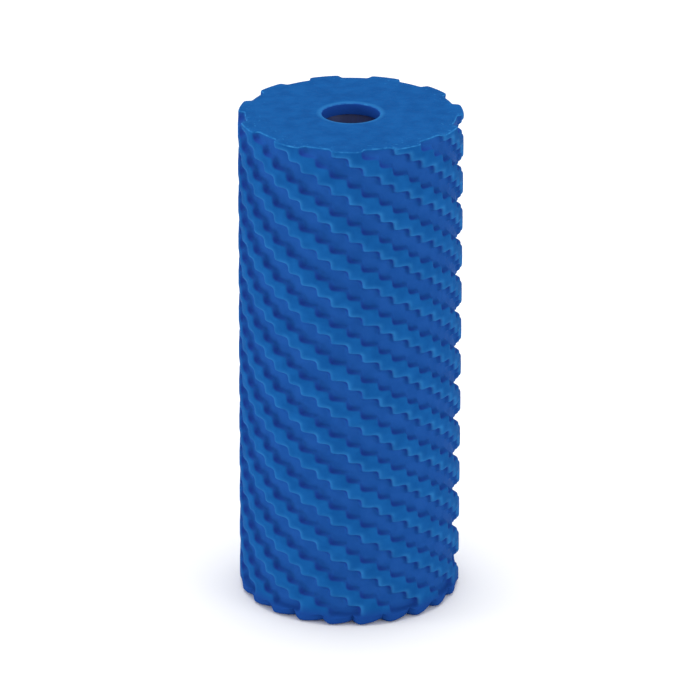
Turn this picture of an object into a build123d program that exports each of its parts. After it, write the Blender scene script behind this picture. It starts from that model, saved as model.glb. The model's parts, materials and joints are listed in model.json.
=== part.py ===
from build123d import *
import math
import os

# A moulded foam roller: one foam body with a stepped helical tread, on a rigid core tube.
# Frame: the roller stands on its lower end face at z = 0, its axis is Z, -Y is its front.

# Driving dimensions, in millimetres.
LENGTH = 318.0            # end face to end face
DIAMETER = 140.0          # over the tread ridges
TREAD_DEPTH = 4.4         # ridge top to groove floor
RIM_HEIGHT = 7.0          # plain rounded rim below the tread, at the lower end only
RIM_ROUND = 4.0           # rounding of the rim's outer edge
TOP_STEP = 5.0            # the uppermost tread step, shortened by the trimmed end face
HOLE_DIAMETER = 36.0      # opening in the foam at each end face
END_RECESS = 7.5          # how far the core tube sits behind each end face
TUBE_OUTER = 48.3         # core tube, the size of 1-1/2 inch pipe
TUBE_INNER = 40.9

# Tread layout: each ridge drops by one step at every column, so it winds round the body.
RIDGES = 11               # ridges side by side in any cross-section
FULL_STEPS = 50           # full-height steps between the rim and the uppermost step
WIDE_SHARE = 0.557        # share of a column pair taken by its wide column
TOP_RIDGE_START = -10.3   # degrees right of the front where a ridge starts in the uppermost step

OUTER_RADIUS = DIAMETER / 2
FLOOR_RADIUS = OUTER_RADIUS - TREAD_DEPTH
PAIR_ANGLE = 360.0 / (2 * RIDGES)                   # one wide and one narrow column
WIDE_ANGLE = PAIR_ANGLE * WIDE_SHARE
STEP_HEIGHT = (LENGTH - RIM_HEIGHT - TOP_STEP) / FULL_STEPS
FRONT = -90.0                                       # direction of the front in the XY plane


def polar(radius, angle):
    """A point in the XY plane at an angle in degrees."""
    turn = math.radians(angle)
    return (radius * math.cos(turn), radius * math.sin(turn))


def column_start(index):
    """Angle, in degrees right of the front, where a column starts; even columns are wide."""
    pairs, is_narrow = divmod(index, 2)
    return TOP_RIDGE_START + pairs * PAIR_ANGLE + is_narrow * WIDE_ANGLE


def arc_edge(radius, start, end):
    """An arc about the axis between two angles."""
    middle = (start + end) / 2
    return ThreePointArc(polar(radius, start), polar(radius, middle), polar(radius, end))


def tread_section(first_column):
    """Cross-section of one tread step: every ridge covers two columns, every groove two."""
    edges = []
    for ridge in range(RIDGES):
        column = first_column + 4 * ridge
        ridge_start = FRONT + column_start(column)
        ridge_end = FRONT + column_start(column + 2)
        groove_end = FRONT + column_start(column + 4)
        edges.append(arc_edge(OUTER_RADIUS, ridge_start, ridge_end))
        edges.append(Line(polar(OUTER_RADIUS, ridge_end), polar(FLOOR_RADIUS, ridge_end)))
        edges.append(arc_edge(FLOOR_RADIUS, ridge_end, groove_end))
        edges.append(Line(polar(FLOOR_RADIUS, groove_end), polar(OUTER_RADIUS, groove_end)))
    return Face(Wire(edges))


def tread_step(first_column, bottom, height):
    """One step of the tread as a toothed disc."""
    return Pos(0, 0, bottom) * extrude(tread_section(first_column), height, dir=(0, 0, 1))


def foot_rim():
    """The plain rim below the tread, rounded at its outer bottom edge."""
    disc = Cylinder(OUTER_RADIUS, RIM_HEIGHT, align=(Align.CENTER, Align.CENTER, Align.MIN))
    return fillet(disc.edges().sort_by(Axis.Z)[0], RIM_ROUND)


def foam_body():
    """The one-piece foam moulding, with the bed for the tube and a hole at each end."""
    steps = [tread_step(0, LENGTH - TOP_STEP, TOP_STEP)]
    for index in range(1, FULL_STEPS + 1):
        bottom = LENGTH - TOP_STEP - index * STEP_HEIGHT
        steps.append(tread_step(index, bottom, STEP_HEIGHT))
    body = foot_rim().fuse(*steps)
    hole = Cylinder(HOLE_DIAMETER / 2, LENGTH, align=(Align.CENTER, Align.CENTER, Align.MIN))
    return body - hole - tube_space()


def tube_space():
    """The solid cylinder that the core tube fills inside the foam."""
    height = LENGTH - 2 * END_RECESS
    rod = Cylinder(TUBE_OUTER / 2, height, align=(Align.CENTER, Align.CENTER, Align.MIN))
    return Pos(0, 0, END_RECESS) * rod


def core_tube():
    """The rigid tube that carries the load, open at both ends."""
    lumen = Cylinder(TUBE_INNER / 2, LENGTH, align=(Align.CENTER, Align.CENTER, Align.MIN))
    return tube_space() - lumen


os.makedirs("parts", exist_ok=True)
export_step(foam_body(), "parts/foam_body.step")
export_step(core_tube(), "parts/core_tube.step")
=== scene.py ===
import json
import math

import bpy
import numpy as np
from mathutils import Matrix, Vector


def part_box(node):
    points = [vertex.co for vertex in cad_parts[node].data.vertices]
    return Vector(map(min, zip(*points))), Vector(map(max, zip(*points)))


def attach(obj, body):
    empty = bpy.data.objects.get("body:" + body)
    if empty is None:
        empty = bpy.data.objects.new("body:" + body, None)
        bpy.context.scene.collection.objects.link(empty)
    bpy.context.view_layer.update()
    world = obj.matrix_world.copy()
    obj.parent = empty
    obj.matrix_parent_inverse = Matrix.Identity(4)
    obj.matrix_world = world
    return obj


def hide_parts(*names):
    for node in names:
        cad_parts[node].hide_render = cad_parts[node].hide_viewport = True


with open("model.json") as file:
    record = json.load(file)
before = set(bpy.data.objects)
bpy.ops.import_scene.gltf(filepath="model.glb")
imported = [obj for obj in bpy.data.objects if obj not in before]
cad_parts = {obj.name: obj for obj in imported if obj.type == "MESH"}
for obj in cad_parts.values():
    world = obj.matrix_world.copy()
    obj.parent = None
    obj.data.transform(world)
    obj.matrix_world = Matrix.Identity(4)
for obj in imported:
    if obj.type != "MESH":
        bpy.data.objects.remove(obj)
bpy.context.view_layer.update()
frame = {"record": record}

MM = 0.001                              # one millimetre, in the scene's metres

# Main sizes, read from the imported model.
foam_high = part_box("foam_body")[1]
tube_low, tube_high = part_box("core_tube")
LENGTH = foam_high.z
RIDGE_RADIUS = foam_high.x
TUBE_RADIUS = tube_high.x
RECESS = tube_low.z                     # from an end face to the end of the tube
HOLE_RADIUS = next(m["dims"]["r_mm"] for m in frame["record"]["mounts"] if m["kind"] == "bore") * MM
TUBE_WALL = 3.7 * MM

# Tread: helical ridges that drop by one step at every column.
TREAD_DEPTH = 4.4 * MM
FLOOR_RADIUS = RIDGE_RADIUS - TREAD_DEPTH
RIM_HEIGHT = 7.0 * MM                   # plain rim below the tread
TOP_STEP = 5.0 * MM                     # the uppermost step, cut short by the end face
FULL_STEPS = 50
RIDGES = 11                             # side by side in any cross-section
PAIRS = 2 * RIDGES                      # pairs of one wide and one narrow column
PAIR_ANGLE = 2 * math.pi / PAIRS
WIDE_SHARE = 0.557                      # a wide column's share of its pair
FIRST_COLUMN = math.radians(-10.3)      # where a ridge starts in the uppermost step
STEP_HEIGHT = (LENGTH - RIM_HEIGHT - TOP_STEP) / FULL_STEPS

# Softness of the moulding.
CORNER_BLUR = 0.8 * MM                  # rounds the corners that each ridge makes at its steps
WALL_RUN = 0.4 * MM                     # how far a ridge's steep side leans over its height
RIDGE_ROUND = 2.0 * MM                  # radius along the top of that side
GROOVE_ROUND = 2.2 * MM                 # radius along its foot, where it meets the groove floor
END_ROUND = 1.0 * MM                    # outer edge of the upper end face
MOUTH_ROUND = 1.3 * MM                  # mouth of the hole in each end face
TUBE_CHAMFER = 0.5 * MM

# Foot rim: one lobe under each column pair, each starting at a notch.
NOTCH_PLACE = WIDE_SHARE + 0.42 * (1 - WIDE_SHARE)      # where in a pair the notch is
LOBE_PEAK = 0.28                        # where in a lobe it is fullest
LOBE_FALL = 1.6                         # 1 lets a lobe fall away evenly, more lets it fall late
RIM_ROUND = 3.0 * MM                    # rounding under the fullest part of a lobe
NOTCH_LIFT = 3.5 * MM                   # extra height of the rounding at a notch
NOTCH_SPREAD = 5.5 * MM                 # extra width of the rounding at a notch
NOTCH_INSET = 2.5 * MM                  # how far a notch cuts into the rim

# Grid lines of the meshes.
LINES_PER_WIDE = 13
LINES_PER_NARROW = 11
LINES_PER_STEP = 10
LINE_EASE = 0.68                        # 0 spaces the lines evenly, towards 1 crowds them at edges
LINES_PER_RIM = 7                       # down the rim, above its rounding
LINES_PER_FOOT = 13                     # round the rim's rounding
LINES_PER_EDGE = 7                      # round the edge of an end face or of a hole
LINES_PER_FACE = 9                      # across an end face
TUBE_LINES = 128
CREASE_ANGLE = 50                       # degrees; folds sharper than this are shaded as edges

# Painted shade and painted highlights that follow the tread.
CORNER_SHADE_REACH = 2.0 * MM                 # how far the painted shade in the groove corners reaches out from the ridges
EDGE_HIGHLIGHT_REACH = 1.1 * MM                  # half the width of the painted highlight along a ridge's edge

# Colours, as linear red, green and blue. A pair holds the two tones of a mottled surface.
RIDGE_BLUES = (0.005, 0.071, 0.258), (0.007, 0.088, 0.300)
# Painted shade tone of the grooves: a more violet blue than the ridges'.
GROOVE_SHADE_BLUES = (0.010, 0.071, 0.286), (0.013, 0.081, 0.316)
CORNER_SHADE_BLUE = (0.011, 0.039, 0.232)     # painted shade in the corners of the grooves
FOOT_BLUE = (0.009, 0.056, 0.256)       # on the rim below the tread
HOLE_SHADE_BLUE = (0.012, 0.068, 0.340)       # painted shade tone on the wall of the hole, a more violet blue
HIGHLIGHT_AND_SPECK_BLUE = (0.032, 0.210, 0.500)       # painted highlights along edges, and pale specks
TUBE_BLUES = (0.010, 0.030, 0.170), (0.015, 0.042, 0.230)
FLOOR_WHITE = (0.95, 0.95, 0.95)

# Camera: a long lens, so that the sides stay nearly parallel.
CAMERA_DISTANCE = 44 * RIDGE_RADIUS     # in front of the axis
CAMERA_RISE = 15.93 * RIDGE_RADIUS      # above the upper end face
CAMERA_LENS = 272.2                     # focal length in millimetres
CAMERA_PITCH = 22.47                    # degrees below the horizon
CAMERA_ROLL = 0.2                       # degrees


def eased(count):
    """Fractions from 0 up to the last one before 1, closer together towards both ends."""
    even = np.arange(count) / count
    return even - LINE_EASE * np.sin(2 * math.pi * even) / (2 * math.pi)


def column_edges():
    """Pairs of angles, right of the front, between which each column lies; even columns are wide."""
    starts = []
    for pair in range(PAIRS + 1):
        starts.append(FIRST_COLUMN + pair * PAIR_ANGLE)
        starts.append(FIRST_COLUMN + (pair + WIDE_SHARE) * PAIR_ANGLE)
    return list(zip(starts[:2 * PAIRS], starts[1:]))


def tread_angles():
    """The angle of every upright line of the foam's mesh."""
    lines = []
    for column, (start, end) in enumerate(column_edges()):
        count = LINES_PER_NARROW if column % 2 else LINES_PER_WIDE
        lines.append(start + (end - start) * eased(count))
    return np.concatenate(lines)


def tread_heights():
    """The height of every ring of the tread, from its top down to the rim."""
    tops = [LENGTH - TOP_STEP - step * STEP_HEIGHT for step in range(FULL_STEPS)]
    lines = [LENGTH - END_ROUND - (TOP_STEP - END_ROUND) * eased(LINES_PER_STEP)]
    for top in tops:
        lines.append(top - STEP_HEIGHT * eased(LINES_PER_STEP))
    return np.concatenate(lines)


def soft_step(distance, blur):
    """0 well before an edge, 1 well past it, changing over a few times the blur."""
    return 0.5 * (1 + np.tanh(distance / (2 * blur)))


def column_share(angles, start, end, blur):
    """How much each angle belongs to the column between two angles."""
    half_width = (end - start) / 2 * RIDGE_RADIUS
    offset = (angles - (start + end) / 2 + math.pi) % (2 * math.pi) - math.pi
    across = offset * RIDGE_RADIUS
    return soft_step(across + half_width, blur) - soft_step(across - half_width, blur)


def ridge_share(heights, column, blur):
    """How much each height in a column belongs to a ridge or to the rim below the tread."""
    share = 1 - soft_step(heights - RIM_HEIGHT, blur)
    # A ridge covers two steps in every four, and lies one step lower in the next column.
    highest = LENGTH - TOP_STEP - (column % 4 - 4) * STEP_HEIGHT
    for turn in range(FULL_STEPS // 4 + 3):
        bottom = max(highest - 4 * turn * STEP_HEIGHT, RIM_HEIGHT)
        top = highest - (4 * turn - 2) * STEP_HEIGHT
        if top > bottom + STEP_HEIGHT / 2:
            share = share + soft_step(heights - bottom, blur) - soft_step(heights - top, blur)
    return share


def tread_share(angles, heights, blur):
    """How much each point of the tread belongs to a ridge: 1 on ridges, 0 in grooves."""
    share = 0
    for column, (start, end) in enumerate(column_edges()):
        in_column = column_share(angles, start, end, blur)
        share = share + in_column * ridge_share(heights, column, blur)
    return share


def rounding(distance, size):
    """Depth of a quarter-circle rounding: its full size at distance 0, none from its size on."""
    away = size - np.clip(distance, 0, size)
    return size - np.sqrt(size * size - away * away)


def tread_radius(angles, heights):
    """Radius of the moulded surface at each angle and height."""
    least = 1e-6                        # keeps the logarithm finite
    share = np.clip(tread_share(angles, heights, CORNER_BLUR), least, 1 - least)
    inside = CORNER_BLUR * np.log(share / (1 - share))      # distance inside the ridge's outline
    ridge = RIDGE_RADIUS - rounding(inside - WALL_RUN / 2, RIDGE_ROUND)
    groove = FLOOR_RADIUS + rounding(-inside - WALL_RUN / 2, GROOVE_ROUND)
    on_ridge = np.clip(inside / WALL_RUN + 0.5, 0, 1)
    return groove + (ridge - groove) * on_ridge


def painted_edge_highlight(radius, angles, height):
    """1 along the left and lower edges of the ridges, where a pale highlight is painted, 0 elsewhere.
    """
    turn = EDGE_HIGHLIGHT_REACH / RIDGE_RADIUS
    above_right = tread_share(angles + turn, height + EDGE_HIGHLIGHT_REACH, CORNER_BLUR)
    below_left = tread_share(angles - turn, height - EDGE_HIGHLIGHT_REACH, CORNER_BLUR)
    near_top = np.clip((radius - RIDGE_RADIUS + 2.0 * MM) / (1.0 * MM), 0, 1)
    return np.clip(above_right - below_left, 0, 1) * near_top


def lobe_fullness(angles):
    """0 at each notch of the foot rim, rising fast to 1 and falling away slowly."""
    first_notch = FIRST_COLUMN + NOTCH_PLACE * PAIR_ANGLE
    along = ((angles - first_notch) / PAIR_ANGLE) % 1
    rising = np.sin(math.pi / 2 * np.clip(along / LOBE_PEAK, 0, 1))
    falling = 1 - np.clip((along - LOBE_PEAK) / (1 - LOBE_PEAK), 0, 1) ** LOBE_FALL
    return np.minimum(rising, falling)


def rim_rings(angles):
    """Rings of the foot rim, from the tread's lower end round to the flat underside."""
    notch = 1 - lobe_fullness(angles)
    round_height = RIM_ROUND + NOTCH_LIFT * notch
    round_width = RIM_ROUND + NOTCH_SPREAD * notch
    rings = []
    for along in np.linspace(0, 1, LINES_PER_RIM, endpoint=False):
        height = RIM_HEIGHT + (round_height - RIM_HEIGHT) * along
        rings.append((tread_radius(angles, height) - NOTCH_INSET * notch * along ** 2, height))
    widest = tread_radius(angles, round_height) - NOTCH_INSET * notch
    for turn in np.linspace(0, math.pi / 2, LINES_PER_FOOT):
        radius = widest - round_width * (1 - math.cos(turn))
        rings.append((radius, round_height * (1 - math.sin(turn))))
    return rings


def face_rings(outline, inner_radius, height):
    """Rings across a flat end face, from its outline to an inner radius."""
    shares = np.linspace(0, 1, LINES_PER_FACE)
    return [(outline + (inner_radius - outline) * share, height) for share in shares]


def quarter_rings(centre_radius, centre_height, size, start):
    """Rings round a quarter-circle edge, clockwise in section from a start angle in degrees."""
    turns = np.radians(start - np.linspace(0, 90, LINES_PER_EDGE))
    return [(centre_radius + size * np.cos(t), centre_height + size * np.sin(t)) for t in turns]


def foam_rings(angles):
    """The foam's section as a closed loop of rings, starting at the upper hole's mouth."""
    mouth = HOLE_RADIUS + MOUTH_ROUND
    edge = tread_radius(angles, LENGTH - END_ROUND) - END_ROUND
    rings = quarter_rings(mouth, LENGTH - MOUTH_ROUND, MOUTH_ROUND, 180)
    rings += face_rings(edge, mouth, LENGTH)[-2:0:-1]
    rings += quarter_rings(edge, LENGTH - END_ROUND, END_ROUND, 90)[:-1]
    rings += [(tread_radius(angles, height), height) for height in tread_heights()]
    rings += rim_rings(angles)
    rings += face_rings(rings[-1][0], mouth, 0.0)[1:-1]
    rings += quarter_rings(mouth, MOUTH_ROUND, MOUTH_ROUND, 270)
    rings += [(HOLE_RADIUS, RECESS), (TUBE_RADIUS, RECESS)]
    rings += [(TUBE_RADIUS, LENGTH - RECESS), (HOLE_RADIUS, LENGTH - RECESS)]
    return rings


def tube_rings():
    """The core tube's section as a closed loop of rings, its edges broken by small chamfers."""
    low, high = RECESS, LENGTH - RECESS
    outer, inner = TUBE_RADIUS, TUBE_RADIUS - TUBE_WALL
    cut = TUBE_CHAMFER
    return [
        (inner, high - cut), (inner + cut, high), (outer - cut, high), (outer, high - cut),
        (outer, low + cut), (outer - cut, low), (inner + cut, low), (inner, low + cut),
    ]


def ring_mesh(name, rings, angles):
    """A closed mesh through rings about the axis, the last ring joined to the first."""
    ring_count, line_count = len(rings), len(angles)
    points = np.empty((ring_count, line_count, 3))
    for index, (radius, height) in enumerate(rings):
        points[index, :, 0] = radius * np.sin(angles)
        points[index, :, 1] = -radius * np.cos(angles)
        points[index, :, 2] = height
    here = np.arange(ring_count * line_count).reshape(ring_count, line_count)
    below = np.roll(here, -1, axis=0)
    faces = np.stack([here, below, np.roll(below, -1, axis=1), np.roll(here, -1, axis=1)], axis=-1)
    mesh = bpy.data.meshes.new(name)
    mesh.from_pydata(points.reshape(-1, 3), [], faces.reshape(-1, 4))
    mesh.shade_smooth()
    mesh.set_sharp_from_angle(angle=math.radians(CREASE_ANGLE))
    piece = bpy.data.objects.new(name, mesh)
    bpy.context.collection.objects.link(piece)
    return piece


def store_values(piece, name, rows):
    """Store one value for each point of a ring mesh, a row to a ring."""
    attribute = piece.data.attributes.new(name, "FLOAT", "POINT")
    attribute.data.foreach_set("value", np.concatenate(rows))


def new_material(name):
    """A new material, its node tree and its surface shader."""
    material = bpy.data.materials.new(name)
    material.use_nodes = True
    tree = material.node_tree
    return material, tree, tree.nodes["Principled BSDF"]


def object_place(tree):
    """Each point's place in its object's coordinates."""
    return tree.nodes.new("ShaderNodeTexCoord").outputs["Object"]


def scaled(tree, place, factors):
    """Places whose coordinates are each multiplied by a factor."""
    node = tree.nodes.new("ShaderNodeVectorMath")
    node.operation = "MULTIPLY"
    node.inputs[1].default_value = factors
    tree.links.new(place, node.inputs[0])
    return node.outputs["Vector"]


def attribute_value(tree, name):
    """A value that is stored on the mesh's points."""
    node = tree.nodes.new("ShaderNodeAttribute")
    node.attribute_name = name
    return node.outputs["Fac"]


def noise(tree, place, size):
    """Cloudy values from 0 to 1 whose patches are about the given size in metres."""
    node = tree.nodes.new("ShaderNodeTexNoise")
    node.inputs["Scale"].default_value = 1 / size
    node.inputs["Detail"].default_value = 3
    tree.links.new(place, node.inputs["Vector"])
    return node.outputs["Fac"]


def cells(tree, place, size):
    """Distance from the nearest of many scattered points, about the given size apart."""
    node = tree.nodes.new("ShaderNodeTexVoronoi")
    node.inputs["Scale"].default_value = 1 / size
    tree.links.new(place, node.inputs["Vector"])
    return node.outputs["Distance"]


def ramped(tree, value, low, high, to_low, to_high):
    """The value's range from low to high stretched over another range, and held at its ends."""
    node = tree.nodes.new("ShaderNodeMapRange")
    tree.links.new(value, node.inputs["Value"])
    node.inputs["From Min"].default_value = low
    node.inputs["From Max"].default_value = high
    node.inputs["To Min"].default_value = to_low
    node.inputs["To Max"].default_value = to_high
    return node.outputs["Result"]


def clouds(tree, place, size, low, high):
    """Soft-edged patches about the given size, with values from low to high."""
    return ramped(tree, noise(tree, place, size), 0.35, 0.65, low, high)


def combined(tree, operation, first, second):
    """Two values put through one of the maths node's operations."""
    node = tree.nodes.new("ShaderNodeMath")
    node.operation = operation
    tree.links.new(first, node.inputs[0])
    tree.links.new(second, node.inputs[1])
    return node.outputs["Value"]


def product(tree, first, second):
    """Two values multiplied."""
    return combined(tree, "MULTIPLY", first, second)


def larger(tree, first, second):
    """The larger of two values."""
    return combined(tree, "MAXIMUM", first, second)


def band(tree, value, low, high, fade):
    """1 where a value lies between two limits, fading to 0 just outside them."""
    above = ramped(tree, value, low - fade, low, 0, 1)
    below = ramped(tree, value, high, high + fade, 1, 0)
    return product(tree, above, below)


def mixed_colour(tree, share, first, second):
    """A colour between two others, each a tuple or another node's output."""
    node = tree.nodes.new("ShaderNodeMix")
    node.data_type = "RGBA"
    tree.links.new(share, node.inputs[0])
    for colour, socket in ((first, node.inputs[6]), (second, node.inputs[7])):
        if isinstance(colour, tuple):
            socket.default_value = (*colour, 1.0)
        else:
            tree.links.new(colour, socket)
    return node.outputs[2]


def bumped(tree, value, height, under=None):
    """A surface normal roughened by a value, over another bump if one is given."""
    node = tree.nodes.new("ShaderNodeBump")
    node.inputs["Distance"].default_value = height
    tree.links.new(value, node.inputs["Height"])
    if under is not None:
        tree.links.new(under, node.inputs["Normal"])
    return node.outputs["Normal"]


def axis_distance(tree, place):
    """Distance of each point from the roller's axis."""
    node = tree.nodes.new("ShaderNodeVectorMath")
    node.operation = "LENGTH"
    tree.links.new(scaled(tree, place, (1, 1, 0)), node.inputs[0])
    return node.outputs["Value"]


def axial_height(tree, place):
    """Height of each point above the lower end face."""
    node = tree.nodes.new("ShaderNodeSeparateXYZ")
    tree.links.new(place, node.inputs[0])
    return node.outputs["Z"]


def in_groove(tree, distance, height):
    """1 on the groove floors and the ridges' sides, fading to 0 on the ridges and the end faces."""
    below_ridge = ramped(tree, distance, RIDGE_RADIUS - 1.2 * MM, RIDGE_RADIUS - 0.2 * MM, 1, 0)
    outside_core = ramped(tree, distance, FLOOR_RADIUS - 1.0 * MM, FLOOR_RADIUS - 0.2 * MM, 0, 1)
    below_face = ramped(tree, height, LENGTH - 2.0 * MM, LENGTH - 0.5 * MM, 1, 0)
    return product(tree, product(tree, below_ridge, outside_core), below_face)


def face_highlights_and_specks(tree, place, distance, height):
    """Painted highlights on the upper end face, a broken line at its edge and a ring round the hole,
    and pale specks of random tone.
    """
    # Painted highlight along the rounded outer edge of the end face.
    edge = band(tree, height, LENGTH - 0.7 * MM, LENGTH - 0.3 * MM, 0.3 * MM)
    edge_line = product(tree, edge, clouds(tree, place, 4 * MM, 0.1, 0.8))
    mouth = HOLE_RADIUS + MOUTH_ROUND
    # Painted highlight round the mouth of the hole.
    ring = ramped(tree, distance, mouth, mouth + 2.5 * MM, 0.4, 0)
    near_edge = ramped(tree, distance, RIDGE_RADIUS - 20 * MM, RIDGE_RADIUS - 2 * MM, 0, 1)
    specks = ramped(tree, noise(tree, place, 2.5 * MM), 0.62, 0.70, 0, 0.5)
    marks = larger(tree, ring, product(tree, near_edge, specks))
    on_face = ramped(tree, height, LENGTH - 1.0 * MM, LENGTH - 0.3 * MM, 0, 1)
    return larger(tree, edge_line, product(tree, marks, on_face))


def highlight_and_speck_share(tree, place, distance, height):
    """How pale each point is: painted highlights and specks on the upper end face and, in streaks,
    painted highlights along the ridges' left and lower edges.
    """
    streaks = clouds(tree, place, 12 * MM, 0.4, 1)
    # Painted highlight along the ridges' left and lower edges, broken into streaks.
    painted_edge_lines = product(tree, attribute_value(tree, "painted_edge_highlight"), streaks)
    return larger(tree, face_highlights_and_specks(tree, place, distance, height), painted_edge_lines)


def foam_colour(tree, place):
    """Mottled blue, deeper on the foot rim, with painted shade in the grooves, their corners and the
    hole, and painted highlights and pale specks.
    """
    distance, height = axis_distance(tree, place), axial_height(tree, place)
    mottle = clouds(tree, place, 9 * MM, 0, 1)
    ridge = mixed_colour(tree, mottle, *RIDGE_BLUES)
    groove = mixed_colour(tree, mottle, *GROOVE_SHADE_BLUES)
    # Painted shade: a darker blue in the grooves' corners between the ridges.
    painted_corner_shade = ramped(tree, attribute_value(tree, "ridge_share"), 0.38, 0.64, 0, 1)
    groove = mixed_colour(tree, painted_corner_shade, groove, CORNER_SHADE_BLUE)
    # Painted shade tone: the grooves and the ridges' sides get the more violet blue of the shade there.
    colour = mixed_colour(tree, in_groove(tree, distance, height), ridge, groove)
    on_foot = ramped(tree, height, RIM_HEIGHT - 1.0 * MM, RIM_HEIGHT + 5.0 * MM, 1, 0)
    colour = mixed_colour(tree, on_foot, colour, FOOT_BLUE)
    # Painted shade tone on the wall of the hole.
    in_hole = ramped(tree, distance, HOLE_RADIUS + 0.2 * MM, HOLE_RADIUS + 0.9 * MM, 1, 0)
    colour = mixed_colour(tree, in_hole, colour, HOLE_SHADE_BLUE)
    # Painted highlights, and pale specks of random tone.
    return mixed_colour(tree, highlight_and_speck_share(tree, place, distance, height), colour, HIGHLIGHT_AND_SPECK_BLUE)


def foam_material():
    """Matte closed-cell foam, with a slightly uneven skin and fine cells."""
    material, tree, shader = new_material("blue_foam")
    place = object_place(tree)
    tree.links.new(foam_colour(tree, place), shader.inputs["Base Color"])
    roughness = ramped(tree, noise(tree, place, 2.5 * MM), 0.3, 0.7, 0.56, 0.68)
    tree.links.new(roughness, shader.inputs["Roughness"])
    skin = bumped(tree, noise(tree, place, 3 * MM), 0.15 * MM)
    pores = bumped(tree, cells(tree, place, 0.7 * MM), 0.05 * MM, skin)
    tree.links.new(pores, shader.inputs["Normal"])
    shader.inputs["Specular IOR Level"].default_value = 0.008
    return material


def tube_material():
    """Dark extruded plastic, faintly streaked along its length."""
    material, tree, shader = new_material("dark_tube_plastic")
    lengthened = scaled(tree, object_place(tree), (1, 1, 0.05))
    streaks = noise(tree, lengthened, 1.5 * MM)
    colour = mixed_colour(tree, ramped(tree, streaks, 0.3, 0.7, 0, 1), *TUBE_BLUES)
    tree.links.new(colour, shader.inputs["Base Color"])
    tree.links.new(ramped(tree, streaks, 0.3, 0.7, 0.38, 0.52), shader.inputs["Roughness"])
    tree.links.new(bumped(tree, streaks, 0.03 * MM), shader.inputs["Normal"])
    return material


def floor_material():
    """Plain matte white."""
    material, _, shader = new_material("pale_floor")
    shader.inputs["Base Color"].default_value = (*FLOOR_WHITE, 1)
    shader.inputs["Roughness"].default_value = 0.9
    shader.inputs["Specular IOR Level"].default_value = 0.1
    return material


def make_foam():
    """The foam moulding, in place of its plain CAD solid."""
    angles = tread_angles()
    rings = foam_rings(angles)
    foam = ring_mesh("foam_roller_body", rings, angles)
    # The widely blurred ridge share places the painted shade in the groove corners.
    shares = [tread_share(angles, height, CORNER_SHADE_REACH) for _, height in rings]
    # These values place the painted highlights along the ridges' left and lower edges.
    edge_highlights = [painted_edge_highlight(radius, angles, height) for radius, height in rings]
    store_values(foam, "ridge_share", shares)
    store_values(foam, "painted_edge_highlight", edge_highlights)
    foam.data.materials.append(foam_material())
    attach(foam, "root")
    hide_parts("foam_body")


def make_tube():
    """The rigid core tube, in place of its CAD solid."""
    angles = np.linspace(0, 2 * math.pi, TUBE_LINES, endpoint=False)
    tube = ring_mesh("inner_core_tube", tube_rings(), angles)
    tube.data.materials.append(tube_material())
    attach(tube, "root")
    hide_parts("core_tube")


def make_floor():
    """A plain pale floor, just under the object."""
    bpy.ops.mesh.primitive_plane_add(size=60, location=(0, 0, -0.2 * MM))
    floor = bpy.context.object
    floor.name = "floor"
    floor.data.materials.append(floor_material())


def make_lamp(name, place, size, power):
    """A square soft box that faces the middle of the object."""
    data = bpy.data.lights.new(name, "AREA")
    data.size = size
    data.energy = power
    lamp = bpy.data.objects.new(name, data)
    lamp.location = place
    target = Vector((0, 0, LENGTH / 2))
    lamp.rotation_euler = (target - lamp.location).to_track_quat("-Z", "Y").to_euler()
    bpy.context.collection.objects.link(lamp)


def make_light():
    """White surroundings, soft boxes at the left, the right, the front and above."""
    world = bpy.data.worlds.new("studio")
    world.use_nodes = True
    background = world.node_tree.nodes["Background"]
    background.inputs["Color"].default_value = (1, 1, 1, 1)
    background.inputs["Strength"].default_value = 0.75
    scene = bpy.context.scene
    scene.world = world
    scene.view_settings.view_transform = "Standard"
    make_lamp("key", place=(-4.2, -0.8, 0.64), size=1.4, power=76)
    make_lamp("fill", place=(3.8, -2.6, 1.24), size=2.4, power=56)
    make_lamp("front", place=(-0.6, -4.4, 0.92), size=1.8, power=16)
    make_lamp("top", place=(0.0, 0.4, 4.04), size=2.8, power=92)


def make_camera():
    """A long-lens view of the front from a little above, turned down onto the object."""
    data = bpy.data.cameras.new("camera")
    data.lens = CAMERA_LENS
    camera = bpy.data.objects.new("camera", data)
    camera.location = (0, -CAMERA_DISTANCE, LENGTH + CAMERA_RISE)
    pitch = Matrix.Rotation(math.radians(90 - CAMERA_PITCH), 3, "X")
    roll = Matrix.Rotation(math.radians(CAMERA_ROLL), 3, "Z")
    camera.rotation_euler = (pitch @ roll).to_euler()
    bpy.context.collection.objects.link(camera)
    bpy.context.scene.camera = camera


make_foam()
make_tube()
make_floor()
make_light()
make_camera()
